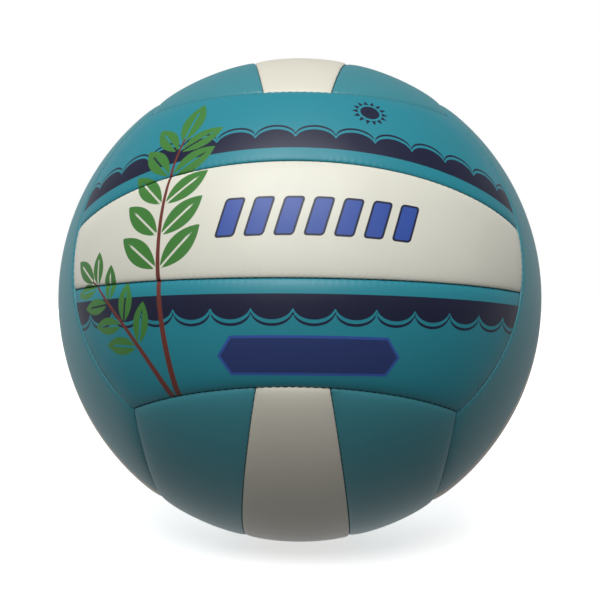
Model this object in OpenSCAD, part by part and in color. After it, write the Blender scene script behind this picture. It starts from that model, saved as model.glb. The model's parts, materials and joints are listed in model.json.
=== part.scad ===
// Volleyball with 18 stitched panels. Six faces of three strips each lie on the ball as on a cube, and the
// strips of neighbouring faces run at right angles. Every seam is a circle on the ball: the seam between two
// faces passes through two corners of the cube, and a strip seam runs close to a great circle.
// The frame's Z is up and -Y is the side that faces the viewer. The ball's centre is the origin.

/* [Ball] */
// Outer diameter of the ball
ball_d = 213; // [180:1:240]
// How far the front face leans back from upright, in degrees
front_lean = 17; // [0:1:45]
// Fineness of the preview
$fn = 96; // [48:12:180]

/* [Faces and strips] */
// Angle from a face's centre to the middle of its long side
side_angle = 33; // [31:0.5:34.5]
// Angle from a face's centre to its two strip seams
strip_angle = 12; // [9:0.5:14]
// Angle by which a strip seam keeps off a great circle
bow_angle = 1; // [0.5:0.1:3]

/* [Panels] */
// Thickness of the skin sheet
skin_t = 0.8; // [0.5:0.1:1.5]
// Thickness of the foam behind the skin
foam_t = 3; // [2:0.5:5]

/* [Seams] */
// Width of the gap between the turned-in rims of two panels
seam_w = 0.9; // [0.5:0.1:1.5]
// Depth at which the thread lies in the gap
thread_sink = 0.5; // [0.2:0.1:0.8]
// Height of the thread run
thread_h = 1; // [0.5:0.1:1.4]

/* [Bladder] */
// Wall of the rubber bladder
bladder_t = 0.6; // [0.4:0.1:1.2]

/* [Valve] */
// Diameter of the valve stem where it comes through the panel
stem_d = 8.4; // [7.6:0.2:12]
// How far the valve's face lies below the skin's surface
face_sink = 0.6; // [0.3:0.1:1.2]
// Room round the stem in the skin and the foam
stem_slack = 0.15; // [0.1:0.05:0.4]
// Length of the stem below the bladder
stem_reach = 14; // [12:1:20]
// Diameter of the flange inside the bladder
flange_d = 18; // [14:1:26]
// Thickness of the flange
flange_t = 1.4; // [1:0.2:2]
// Diameter of the patch round the valve
patch_d = 36; // [28:1:50]
// Thickness of the patch
patch_t = 1; // [0.6:0.1:2]
// Glue between the bladder and the patch
glue_t = 0.1; // [0.05:0.05:0.3]
// Rounding of the stem's inner end
stem_round = 1.5; // [0.5:0.1:2.5]
// Diameter of the self-sealing core
core_d = 5; // [4:0.2:6]
// Length of the core
core_len = 12; // [10:0.5:13]
// Diameter of the needle bore
needle_d = 2; // [1.6:0.1:2.4]
// Depth of the needle bore below its lead-in
needle_len = 8; // [6:0.5:8.5]
// Depth and widening of the lead-in at the bore's mouth
lead_in = 0.5; // [0.3:0.1:0.6]

/* [Hidden] */

teal = "#41909c";
ivory = "#e6e2d3";
foam_colour = "#f2f0ea";
thread_colour = "#16363b";
rubber_black = "#2b2b2d";
rubber_grey = "#c9c9c4";

ball_r = ball_d / 2;
foam_r = ball_r - skin_t;
bladder_r = foam_r - foam_t;
air_r = bladder_r - bladder_t;
seat_r = air_r - glue_t;
patch_r = seat_r - patch_t;
flange_r = patch_r - flange_t;
face_z = ball_r - face_sink;
stem_low = flange_r - stem_reach;
thread_r = ball_r - thread_sink - thread_h;
gap = seam_w / 2;
rim = gap + skin_t;

// Each face is drawn with its centre on +Z and its strips along X, and these turns set it in place. +Y is
// then the upper side of the front and back faces, the left side of the top and bottom, and the front side
// of the left and right.
FRONT = [90, 0, 0];
BACK = [90, 0, 180];
TOP = [0, 0, 90];
BOTTOM = [180, 0, -90];
RIGHT = [180, -90, 0];
LEFT = [180, 90, 0];
FIRST = "first";
MIDDLE = "middle";
LAST = "last";

// The side of its face on which an outer strip lies
function way(strip) = strip == FIRST ? 1 : -1;

// A face seam passes through two corners of the cube and, between them, lies side_angle from the centre of
// the face whose long side it is. So its circle's axis leans by seam_lean from the other face's normal, and
// the circle opens by seam_spread from that axis. seam_half_turn is half of its turn between the corners.
seam_lean = atan((1 - sqrt(3) * sin(side_angle)) / (sqrt(3) * cos(side_angle) - 1));
seam_spread = 90 - side_angle - seam_lean;
seam_half_turn = atan(1 / (cos(seam_lean) - sin(seam_lean)));

// The strip seam's plane turns with the strip and keeps this far from the ball's centre
strip_lean = strip_angle - bow_angle;
strip_off = ball_r * sin(bow_angle);

// Every panel lies above this level of its own face
panel_floor = ball_r / 4;

// A face thread stops short of the corner by the seam's width, where three of them would meet
end_turn = asin(seam_w / (ball_r * sin(seam_spread)));

// Sets a face's pieces where the face lies on the ball, and leans the whole ball
module on_face(turn) {
  rotate([-front_lean, 0, 0]) rotate(turn) children();
}

// A ball whose poles lie past the ends of the face that it is cut to
module ball(r) {
  rotate([0, 90, 0]) sphere(r);
}

// The cone from the ball's centre through a face seam, grown outwards by grow and cut off well inside the shell
module seam_cone(grow) {
  low = ball_r * cos(seam_spread) / 2;
  translate([0, 0, low - grow / sin(seam_spread)])
    cylinder(h = ball_d, r1 = low * tan(seam_spread), r2 = (low + ball_d) * tan(seam_spread));
}

// What lies past the seam along one long side of the face, kept off it by inset
module past_side(strip, inset) {
  rotate([way(strip) * (seam_lean - 90), 0, 0]) seam_cone(inset);
}

// What lies past the seam at one end of the face, kept off it by inset
module past_end(end, inset) {
  difference() {
    translate([end > 0 ? 0 : -ball_d, -ball_d, -ball_d]) cube([ball_d, 2 * ball_d, 2 * ball_d]);
    rotate([0, end * seam_lean, 0]) seam_cone(-inset);
  }
}

// What lies past one strip seam, kept off it by inset, above the level where every panel ends
module past_strip(strip, inset) {
  rotate([-way(strip) * strip_lean, 0, 0])
    translate([-ball_d, strip == FIRST ? strip_off + inset : -strip_off - inset - ball_d, panel_floor])
      cube([2 * ball_d, ball_d, ball_d]);
}

// The space between the two strip seams, kept off them by inset
module between_strips(inset) {
  difference() {
    translate([-ball_d, -ball_r / 2, panel_floor * 2]) cube([2 * ball_d, ball_r, ball_d]);
    past_strip(FIRST, -inset);
    past_strip(LAST, -inset);
  }
}

// A strip of the shell between two radii, with its long edges kept off the seams by inset
module strip_band(strip, r_out, r_in, inset) {
  difference() {
    intersection() {
      difference() {
        ball(r_out);
        ball(r_in);
      }
      if (strip == MIDDLE) between_strips(inset);
      else past_strip(strip, inset);
    }
    if (strip != MIDDLE) past_side(strip, inset);
  }
}

// The same strip with its ends kept off the seams too
module strip_shell(strip, r_out, r_in, inset) {
  difference() {
    strip_band(strip, r_out, r_in, inset);
    past_end(1, inset);
    past_end(-1, inset);
  }
}

// The sheet on the outside, with its rim turned in down to the bladder
module panel_skin(strip) {
  difference() {
    strip_shell(strip, ball_r, bladder_r, gap);
    strip_shell(strip, foam_r, bladder_r - skin_t, rim);
  }
}

module panel_foam(strip) {
  strip_shell(strip, foam_r, bladder_r, rim);
}

// The opening through a panel for the valve stem
module stem_hole(d) {
  translate([0, 0, panel_floor]) cylinder(h = ball_r, d = d);
}

// The thread along one long side of a face, from corner to corner
module side_thread(strip) {
  turn = seam_half_turn - end_turn;
  rotate([way(strip) * (seam_lean - 90), 0, 0]) rotate([0, 0, -way(strip) * 90 - turn])
    rotate_extrude(angle = 2 * turn)
      rotate([0, 0, 90 - seam_spread]) translate([thread_r, -gap]) square([thread_h, seam_w]);
}

// The threads in the two strip seams of a face, ending against the threads of its face seams
module strip_threads() {
  for (strip = [FIRST, LAST])
    difference() {
      rotate([-way(strip) * (90 + strip_lean), 0, 0]) translate([0, 0, strip_off - gap])
        rotate([0, 0, strip == FIRST ? 180 : 0]) rotate_extrude(angle = 180)
          translate([thread_r, 0]) square([thread_h, seam_w]);
      past_end(1, gap);
      past_end(-1, gap);
    }
}

// The rubber sphere that holds the air, open where the stem goes through
module air_sphere() {
  difference() {
    ball(bladder_r);
    ball(air_r);
    stem_hole(stem_d);
  }
}

// A disc that follows the inside of the bladder, between two radii of the ball
module curved_disc(d, r_out, r_in) {
  intersection() {
    difference() {
      ball(r_out);
      ball(r_in);
    }
    stem_hole(d);
  }
}

// The ring that stiffens the bladder round the stem
module patch_ring() {
  difference() {
    curved_disc(patch_d, seat_r, patch_r);
    stem_hole(stem_d);
  }
}

// The stem with its rounded inner end and the flange under the patch, bored for the core
module stem() {
  difference() {
    union() {
      translate([0, 0, stem_low]) rotate_extrude() {
        translate([0, stem_round]) square([stem_d / 2, face_z - stem_low - stem_round]);
        square([stem_d / 2 - stem_round, stem_round]);
        translate([stem_d / 2 - stem_round, stem_round]) intersection() {
          circle(stem_round);
          translate([0, -stem_round]) square(stem_round);
        }
      }
      curved_disc(flange_d, patch_r, flange_r);
    }
    translate([0, 0, face_z - core_len]) cylinder(h = core_len + face_sink, d = core_d);
  }
}

// The plug that closes round the needle, with a blind bore and a lead-in at its mouth
module core() {
  difference() {
    translate([0, 0, face_z - core_len]) cylinder(h = core_len, d = core_d);
    translate([0, 0, face_z - lead_in - needle_len]) cylinder(h = ball_d, d = needle_d);
    translate([0, 0, face_z - lead_in])
      cylinder(h = 2 * lead_in, d1 = needle_d, d2 = needle_d + 4 * lead_in);
  }
}

module skin_front_upper() { color(teal) on_face(FRONT) panel_skin(FIRST); }
module skin_front_middle() { color(ivory) on_face(FRONT) panel_skin(MIDDLE); }
module skin_front_lower() { color(teal) on_face(FRONT) panel_skin(LAST); }
module skin_back_upper() { color(teal) on_face(BACK) panel_skin(FIRST); }
module skin_back_middle() {
  color(ivory) on_face(BACK) difference() {
    panel_skin(MIDDLE);
    stem_hole(stem_d + 2 * stem_slack);
  }
}
module skin_back_lower() { color(teal) on_face(BACK) panel_skin(LAST); }
module skin_top_left() { color(teal) on_face(TOP) panel_skin(FIRST); }
module skin_top_middle() { color(ivory) on_face(TOP) panel_skin(MIDDLE); }
module skin_top_right() { color(teal) on_face(TOP) panel_skin(LAST); }
module skin_bottom_left() { color(teal) on_face(BOTTOM) panel_skin(FIRST); }
module skin_bottom_middle() { color(ivory) on_face(BOTTOM) panel_skin(MIDDLE); }
module skin_bottom_right() { color(teal) on_face(BOTTOM) panel_skin(LAST); }
module skin_left_front() { color(teal) on_face(LEFT) panel_skin(FIRST); }
module skin_left_middle() { color(ivory) on_face(LEFT) panel_skin(MIDDLE); }
module skin_left_back() { color(teal) on_face(LEFT) panel_skin(LAST); }
module skin_right_front() { color(teal) on_face(RIGHT) panel_skin(FIRST); }
module skin_right_middle() { color(ivory) on_face(RIGHT) panel_skin(MIDDLE); }
module skin_right_back() { color(teal) on_face(RIGHT) panel_skin(LAST); }

module foam_front_upper() { color(foam_colour) on_face(FRONT) panel_foam(FIRST); }
module foam_front_middle() { color(foam_colour) on_face(FRONT) panel_foam(MIDDLE); }
module foam_front_lower() { color(foam_colour) on_face(FRONT) panel_foam(LAST); }
module foam_back_upper() { color(foam_colour) on_face(BACK) panel_foam(FIRST); }
module foam_back_middle() {
  color(foam_colour) on_face(BACK) difference() {
    panel_foam(MIDDLE);
    stem_hole(stem_d + 2 * stem_slack);
  }
}
module foam_back_lower() { color(foam_colour) on_face(BACK) panel_foam(LAST); }
module foam_top_left() { color(foam_colour) on_face(TOP) panel_foam(FIRST); }
module foam_top_middle() { color(foam_colour) on_face(TOP) panel_foam(MIDDLE); }
module foam_top_right() { color(foam_colour) on_face(TOP) panel_foam(LAST); }
module foam_bottom_left() { color(foam_colour) on_face(BOTTOM) panel_foam(FIRST); }
module foam_bottom_middle() { color(foam_colour) on_face(BOTTOM) panel_foam(MIDDLE); }
module foam_bottom_right() { color(foam_colour) on_face(BOTTOM) panel_foam(LAST); }
module foam_left_front() { color(foam_colour) on_face(LEFT) panel_foam(FIRST); }
module foam_left_middle() { color(foam_colour) on_face(LEFT) panel_foam(MIDDLE); }
module foam_left_back() { color(foam_colour) on_face(LEFT) panel_foam(LAST); }
module foam_right_front() { color(foam_colour) on_face(RIGHT) panel_foam(FIRST); }
module foam_right_middle() { color(foam_colour) on_face(RIGHT) panel_foam(MIDDLE); }
module foam_right_back() { color(foam_colour) on_face(RIGHT) panel_foam(LAST); }

module seam_front_upper() { color(thread_colour) on_face(FRONT) side_thread(FIRST); }
module seam_front_lower() { color(thread_colour) on_face(FRONT) side_thread(LAST); }
module seam_front_strips() { color(thread_colour) on_face(FRONT) strip_threads(); }
module seam_back_upper() { color(thread_colour) on_face(BACK) side_thread(FIRST); }
module seam_back_lower() { color(thread_colour) on_face(BACK) side_thread(LAST); }
module seam_back_strips() { color(thread_colour) on_face(BACK) strip_threads(); }
module seam_top_left() { color(thread_colour) on_face(TOP) side_thread(FIRST); }
module seam_top_right() { color(thread_colour) on_face(TOP) side_thread(LAST); }
module seam_top_strips() { color(thread_colour) on_face(TOP) strip_threads(); }
module seam_bottom_left() { color(thread_colour) on_face(BOTTOM) side_thread(FIRST); }
module seam_bottom_right() { color(thread_colour) on_face(BOTTOM) side_thread(LAST); }
module seam_bottom_strips() { color(thread_colour) on_face(BOTTOM) strip_threads(); }
module seam_left_front() { color(thread_colour) on_face(LEFT) side_thread(FIRST); }
module seam_left_back() { color(thread_colour) on_face(LEFT) side_thread(LAST); }
module seam_left_strips() { color(thread_colour) on_face(LEFT) strip_threads(); }
module seam_right_front() { color(thread_colour) on_face(RIGHT) side_thread(FIRST); }
module seam_right_back() { color(thread_colour) on_face(RIGHT) side_thread(LAST); }
module seam_right_strips() { color(thread_colour) on_face(RIGHT) strip_threads(); }

module bladder() { color(rubber_black) on_face(BACK) air_sphere(); }
module valve_patch() { color(rubber_black) on_face(BACK) patch_ring(); }
module valve_body() { color(rubber_grey) on_face(BACK) stem(); }
module valve_core() { color(rubber_black) on_face(BACK) core(); }

skin_front_upper();
skin_front_middle();
skin_front_lower();
skin_back_upper();
skin_back_middle();
skin_back_lower();
skin_top_left();
skin_top_middle();
skin_top_right();
skin_bottom_left();
skin_bottom_middle();
skin_bottom_right();
skin_left_front();
skin_left_middle();
skin_left_back();
skin_right_front();
skin_right_middle();
skin_right_back();
foam_front_upper();
foam_front_middle();
foam_front_lower();
foam_back_upper();
foam_back_middle();
foam_back_lower();
foam_top_left();
foam_top_middle();
foam_top_right();
foam_bottom_left();
foam_bottom_middle();
foam_bottom_right();
foam_left_front();
foam_left_middle();
foam_left_back();
foam_right_front();
foam_right_middle();
foam_right_back();
seam_front_upper();
seam_front_lower();
seam_front_strips();
seam_back_upper();
seam_back_lower();
seam_back_strips();
seam_top_left();
seam_top_right();
seam_top_strips();
seam_bottom_left();
seam_bottom_right();
seam_bottom_strips();
seam_left_front();
seam_left_back();
seam_left_strips();
seam_right_front();
seam_right_back();
seam_right_strips();
bladder();
valve_patch();
valve_body();
valve_core();
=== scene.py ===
"""Dresses the stitched volleyball: crowned panels with a printed front, sewn seams, valve and a plain studio.

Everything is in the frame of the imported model, in metres, with the ball's centre at the origin. Each of the
six faces has a frame of its own, with its strips along X, their long sides towards Y and the face's centre on
Z, and a turn that sets it in place on the ball.
"""

from __future__ import annotations

import json
import logging
import math
from collections.abc import Callable
from dataclasses import dataclass, replace
from enum import Enum
from typing import Any

import bpy
import numpy as np
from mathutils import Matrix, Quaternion, Vector

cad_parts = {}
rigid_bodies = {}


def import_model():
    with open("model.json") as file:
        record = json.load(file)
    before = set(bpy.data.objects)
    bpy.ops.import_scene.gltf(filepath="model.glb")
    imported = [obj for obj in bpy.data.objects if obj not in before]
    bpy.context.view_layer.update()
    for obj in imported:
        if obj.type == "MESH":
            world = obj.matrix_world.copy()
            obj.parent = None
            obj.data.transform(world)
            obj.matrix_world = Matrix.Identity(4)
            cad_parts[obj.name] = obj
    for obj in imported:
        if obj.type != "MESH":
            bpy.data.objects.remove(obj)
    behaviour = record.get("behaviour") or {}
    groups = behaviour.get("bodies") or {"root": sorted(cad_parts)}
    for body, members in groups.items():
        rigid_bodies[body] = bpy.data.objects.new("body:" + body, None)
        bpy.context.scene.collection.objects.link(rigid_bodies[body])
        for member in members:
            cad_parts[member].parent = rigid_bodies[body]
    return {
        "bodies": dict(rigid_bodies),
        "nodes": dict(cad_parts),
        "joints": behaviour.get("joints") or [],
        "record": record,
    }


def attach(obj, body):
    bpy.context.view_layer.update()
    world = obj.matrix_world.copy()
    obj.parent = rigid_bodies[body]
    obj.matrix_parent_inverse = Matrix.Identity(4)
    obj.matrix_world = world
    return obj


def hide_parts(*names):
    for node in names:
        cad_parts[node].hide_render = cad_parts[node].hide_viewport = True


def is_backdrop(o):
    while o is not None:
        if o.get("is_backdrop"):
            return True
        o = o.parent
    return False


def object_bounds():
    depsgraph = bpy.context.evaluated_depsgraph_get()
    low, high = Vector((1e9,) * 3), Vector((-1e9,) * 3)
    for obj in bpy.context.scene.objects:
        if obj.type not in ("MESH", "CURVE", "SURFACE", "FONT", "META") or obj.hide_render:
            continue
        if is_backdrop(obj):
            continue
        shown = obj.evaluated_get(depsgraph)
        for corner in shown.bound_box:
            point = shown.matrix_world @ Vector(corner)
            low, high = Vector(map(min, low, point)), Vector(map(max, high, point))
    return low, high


LOG = logging.getLogger("volleyball")
MM = 0.001
EAST = np.array([1.0, 0, 0])


class Strip(Enum):
    """The three strips of a face, by the side of the face on which each lies."""

    FIRST = 1
    MIDDLE = 0
    LAST = -1


class Face(Enum):
    """The six faces: name, direction of the strips, direction of the first strip, outer strips' names."""

    FRONT = ("front", (1, 0, 0), (0, 0, 1), ("upper", "lower"))
    BACK = ("back", (-1, 0, 0), (0, 0, 1), ("upper", "lower"))
    TOP = ("top", (0, 1, 0), (-1, 0, 0), ("left", "right"))
    BOTTOM = ("bottom", (0, -1, 0), (-1, 0, 0), ("left", "right"))
    LEFT = ("left", (0, 0, -1), (0, -1, 0), ("front", "back"))
    RIGHT = ("right", (0, 0, 1), (0, -1, 0), ("front", "back"))

    @property
    def title(self) -> str:
        """The face's name as the nodes spell it."""
        return self.value[0]

    def strip_name(self, strip: Strip) -> str:
        """The name of one of the face's strips."""
        first, last = self.value[3]
        return {Strip.FIRST: first, Strip.MIDDLE: "middle", Strip.LAST: last}[strip]

    def turn(self, lean: float) -> np.ndarray:
        """Works out the turn from the face's frame to the ball's.

        Args:
            lean: Angle by which the whole ball leans back, in radians.

        Returns:
            A 3 by 3 matrix for column vectors.
        """
        run, side = (np.array(v, float) for v in self.value[1:3])
        upright = np.stack([run, side, np.cross(run, side)], axis=1)
        c, s = math.cos(lean), math.sin(lean)
        return np.array([[1, 0, 0], [0, c, s], [0, -s, c]]) @ upright


@dataclass(frozen=True)
class Circle:
    """A seam's circle on the unit ball. What it bounds lies where the height over its axis is less.

    Attributes:
        axis: Unit vector through the circle's poles.
        height: Distance of the circle's plane from the ball's centre.
        along: Unit vector of the seam's direction at its middle, square to the axis.
        middle: Unit vector towards the seam's middle, square to both.
    """

    axis: np.ndarray
    height: float
    along: np.ndarray
    middle: np.ndarray

    def depth(self, points: np.ndarray) -> np.ndarray:
        """Angle of points from the circle, positive inside: asin(height) - asin(point . axis).

        The circle bounds a panel only round its middle, so points on the ball's other half are far inside.
        """
        angle = math.asin(self.height) - np.arcsin(np.clip(points @ self.axis, -1, 1))
        return np.where(points @ self.middle > 0, angle, math.pi)

    def travel(self, points: np.ndarray) -> np.ndarray:
        """Angle of points round the circle's axis, counted from the seam's middle."""
        return np.arctan2(points @ self.along, points @ self.middle)

    def point(self, travel: np.ndarray) -> np.ndarray:
        """Works out points of the circle: height * axis + sqrt(1 - height^2) * (cos * middle + sin * along).

        Args:
            travel: Angles round the axis from the seam's middle, any shape.

        Returns:
            Points, one more axis than travel.
        """
        reach = math.sqrt(1 - self.height**2)
        turn = travel[..., None]
        return self.height * self.axis + reach * (np.cos(turn) * self.middle + np.sin(turn) * self.along)

    def inset(self, angle: float) -> Circle:
        """The circle moved into the panel by an angle."""
        return replace(self, height=math.sin(math.asin(self.height) - angle))

    def flipped(self) -> Circle:
        """The same circle as the bound of what lies on its other side."""
        return replace(self, axis=-self.axis, height=-self.height)

    def meeting(self, other: Circle, near: np.ndarray) -> np.ndarray:
        """Finds the point of the unit ball that two circles share, from the line in which their planes meet.

        Args:
            other: The other circle.
            near: A vector towards the wanted one of the two points.

        Returns:
            The point.
        """
        dot = self.axis @ other.axis
        line = np.cross(self.axis, other.axis)
        foot = (self.height - dot * other.height) * self.axis
        foot = (foot + (other.height - dot * self.height) * other.axis) / (1 - dot**2)
        rise = math.sqrt((1 - foot @ foot) / (line @ line))
        return foot + math.copysign(rise, line @ near) * line

    def arc(self, start: np.ndarray, end: np.ndarray, share: np.ndarray) -> np.ndarray:
        """Works out points of the circle between two of its points, evenly by angle.

        Args:
            start: Point at share 0.
            end: Point at share 1.
            share: Shares of the way, any shape.

        Returns:
            Points, one more axis than share.
        """
        centre = self.height * self.axis
        arm = start - centre
        lift = np.cross(self.axis, arm)
        turn = math.atan2((end - centre) @ lift, (end - centre) @ arm) * share[..., None]
        return centre + np.cos(turn) * arm + np.sin(turn) * lift


@dataclass(frozen=True)
class BallPlan:
    """The ball's sizes and the circles of its seams.

    Attributes:
        radius: Radius of the ball in metres.
        lean: Angle by which the front face leans back, in radians.
        side_angle: Angle from a face's centre to the middle of its long side.
        strip_angle: Angle from a face's centre to its strip seams.
        bow_angle: Angle by which a strip seam keeps off a great circle.
        pitch: Wanted length of one stitch with its hole, in metres.
        stop: Room that the stitches leave at both ends of a seam, in metres.
    """

    radius: float
    lean: float
    side_angle: float = math.radians(33)
    strip_angle: float = math.radians(12)
    bow_angle: float = math.radians(1)
    pitch: float = 2.7 * MM
    stop: float = 0.5 * MM

    @property
    def seam_lean(self) -> float:
        """Lean of a face seam's axis, which lets its circle pass through two corners of the cube."""
        root = math.sqrt(3)
        return math.atan((1 - root * math.sin(self.side_angle)) / (root * math.cos(self.side_angle) - 1))

    @property
    def seam_spread(self) -> float:
        """Angle by which a face seam's circle opens from its axis."""
        return math.pi / 2 - self.side_angle - self.seam_lean

    def side_seam(self, way: int) -> Circle:
        """The seam along the face's long side at +Y or -Y, for way 1 or -1, bounding the face."""
        c, s = math.cos(self.seam_lean), math.sin(self.seam_lean)
        return Circle(np.array([0, way * c, s]), math.cos(self.seam_spread), EAST, np.array([0, -way * s, c]))

    def end_seam(self, way: int) -> Circle:
        """Works out the seam at one end of the face, bounding the face.

        Args:
            way: 1 for the +X end, -1 for the other.

        Returns:
            The seam's circle.
        """
        c, s = math.cos(self.seam_lean), math.sin(self.seam_lean)
        along, middle = np.array([0, 1.0, 0]), np.array([way * c, 0, -s])
        return Circle(np.array([-way * s, 0, -c]), -math.cos(self.seam_spread), along, middle)

    def strip_seam(self, way: int) -> Circle:
        """Works out one strip seam, bounding the middle strip.

        Args:
            way: 1 for the seam on the +Y side, -1 for the other.

        Returns:
            The seam's circle.
        """
        slope = self.strip_angle - self.bow_angle
        c, s = math.cos(slope), math.sin(slope)
        return Circle(np.array([0, way * c, -s]), math.sin(self.bow_angle), EAST, np.array([0, way * s, c]))

    def half_turn(self, seam: Circle) -> float:
        """Angle from a long seam's middle to the face's end, round the seam's own axis."""
        return float(seam.travel(seam.meeting(self.end_seam(1), EAST)))

    def stitch_turn(self, seam: Circle, half_turn: float) -> tuple[float, int]:
        """Divides a seam into stitches.

        Args:
            seam: The seam's circle.
            half_turn: Angle from the seam's middle to its end.

        Returns:
            The angle of one stitch with its hole, round the seam's axis, and the number of stitches.
        """
        reach = self.radius * math.sqrt(1 - seam.height**2)
        span = 2 * (half_turn - self.stop / reach)
        count = round(span * reach / self.pitch)
        return span / count, count


@dataclass(frozen=True)
class SeamRelief:
    """How the surface sinks towards a seam, in millimetres.

    Attributes:
        shoulder: Sink of the rounded shoulder, and the length over which it fades.
        crown: Sink of the wider crown of the panel, and its length.
        lip: Sink of the lip into the groove, and its width.
        most: Deepest sink over the padding, how it rises towards a seam, and the distance where that begins.
        pinch: Share of the lip's width by which it opens over a stitch and closes at a hole.
        pucker: Height of the small swelling between two holes, and the length over which it fades.
        swell: Height of the padding's wide unevenness, and the distance from a seam over which it sets in.
    """

    shoulder: tuple[float, float] = (0.42, 0.6)
    crown: tuple[float, float] = (0.85, 3.2)
    lip: tuple[float, float] = (0.7, 0.22)
    most: tuple[float, float, float] = (0.78, 1.5, 0.9)
    pinch: float = 0.5
    pucker: tuple[float, float] = (0.1, 1.1)
    swell: tuple[float, float] = (0.035, 4.0)

    # Shares of the crown and the shoulder at the low and the high seam of each strip, by its number: a strip
    # stays high where it laps over the next. Then those at most ends, at the ends of the front and the back,
    # and at the edges of the side faces, which stand over these.
    LAP = {1: ((0.3, 1.0), (0.8, 1.0)), 0: ((0.35, 1.0), (0.55, 1.0)), -1: ((0.8, 1.0), (1.0, 1.0))}
    FULL_END = (1.0, 1.0)
    FLAT_END = (0.6, 0.0)
    HIGH_EDGE = (0.1, 1.3)
    # Seed of the unevenness, its shortest and longest wave, and their count
    SEED = 18
    WAVES = (16, 45, 5)

    def laps(self, face: Face, strip: Strip) -> list[tuple[float, float]]:
        """Picks the shares of the crown and the shoulder at a strip's seams.

        Args:
            face: The strip's face.
            strip: The strip.

        Returns:
            Pairs of shares for its low, high, left and right seam.
        """
        low, high = self.LAP[strip.value]
        end = self.FLAT_END if face in (Face.FRONT, Face.BACK) else self.FULL_END
        if face in (Face.LEFT, Face.RIGHT):
            low = self.HIGH_EDGE if strip is Strip.LAST else low
            high = self.HIGH_EDGE if strip is Strip.FIRST else high
        return [low, high, end, end]

    def unevenness(self, points: np.ndarray) -> np.ndarray:
        """Works out the padding's wide rise: its height times the mean of sine waves in random directions.

        Args:
            points: Places on the ball in metres.

        Returns:
            The rise at each place in millimetres.
        """
        draw = np.random.default_rng(self.SEED)
        count = self.WAVES[-1]
        ways = draw.normal(size=(count, 3))
        ways /= np.linalg.norm(ways, axis=1)[:, None]
        lengths = np.linspace(*self.WAVES) * MM
        phases = draw.uniform(0, math.tau, count)
        return self.swell[0] * np.sin(math.tau * (points @ ways.T) / lengths + phases).mean(axis=-1)


def make_mesh(name: str, points: np.ndarray, *faces: np.ndarray) -> bpy.types.Object:
    """Puts points and faces into a smooth mesh object.

    Args:
        name: Name of the object and its mesh.
        points: Points, n by 3, in metres.
        faces: Arrays of indices, each m by its count of corners, counter-clockwise from outside.

    Returns:
        The linked object, at the origin.
    """
    mesh = bpy.data.meshes.new(name)
    mesh.from_pydata(points.tolist(), [], [face for part in faces for face in part.tolist()])
    mesh.polygons.foreach_set("use_smooth", np.ones(len(mesh.polygons), bool))
    mesh.update()
    piece = bpy.data.objects.new(name, mesh)
    bpy.context.scene.collection.objects.link(piece)
    return piece


def add_values(piece: bpy.types.Object, name: str, values: np.ndarray) -> None:
    """Stores one number for each point of a piece under a name that materials can read."""
    layer = piece.data.attributes.new(name, "FLOAT", "POINT")
    layer.data.foreach_set("value", np.ascontiguousarray(values, dtype=np.float32).ravel())


def grid_faces(index: np.ndarray, keep: np.ndarray) -> np.ndarray:
    """Quads of a grid of points.

    Args:
        index: The points' indices, as the grid has them.
        keep: Which points begin a quad.

    Returns:
        Indices, one row for each quad, in the order first index, second index.
    """
    quads = np.stack([index[:-1, :-1], index[1:, :-1], index[1:, 1:], index[:-1, 1:]], axis=-1)
    return quads[keep[:-1, :-1]]


def loop_of(index: np.ndarray, low: tuple[int, int], high: tuple[int, int]) -> np.ndarray:
    """The indices round a block of a grid, counter-clockwise as its faces are, each once."""
    (a, b), (c, d) = low, high
    return np.concatenate([index[a:c, b], index[c, b:d], index[c:a:-1, d], index[a, d:b:-1]])


def ring_faces(index: np.ndarray) -> np.ndarray:
    """Quads between rings of points, whose indices the last two axes hold as ring by place on the ring."""
    near, far = index[..., :-1, :], index[..., 1:, :]
    return np.stack([near, np.roll(near, -1, -1), np.roll(far, -1, -1), far], -1).reshape(-1, 4)


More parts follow.
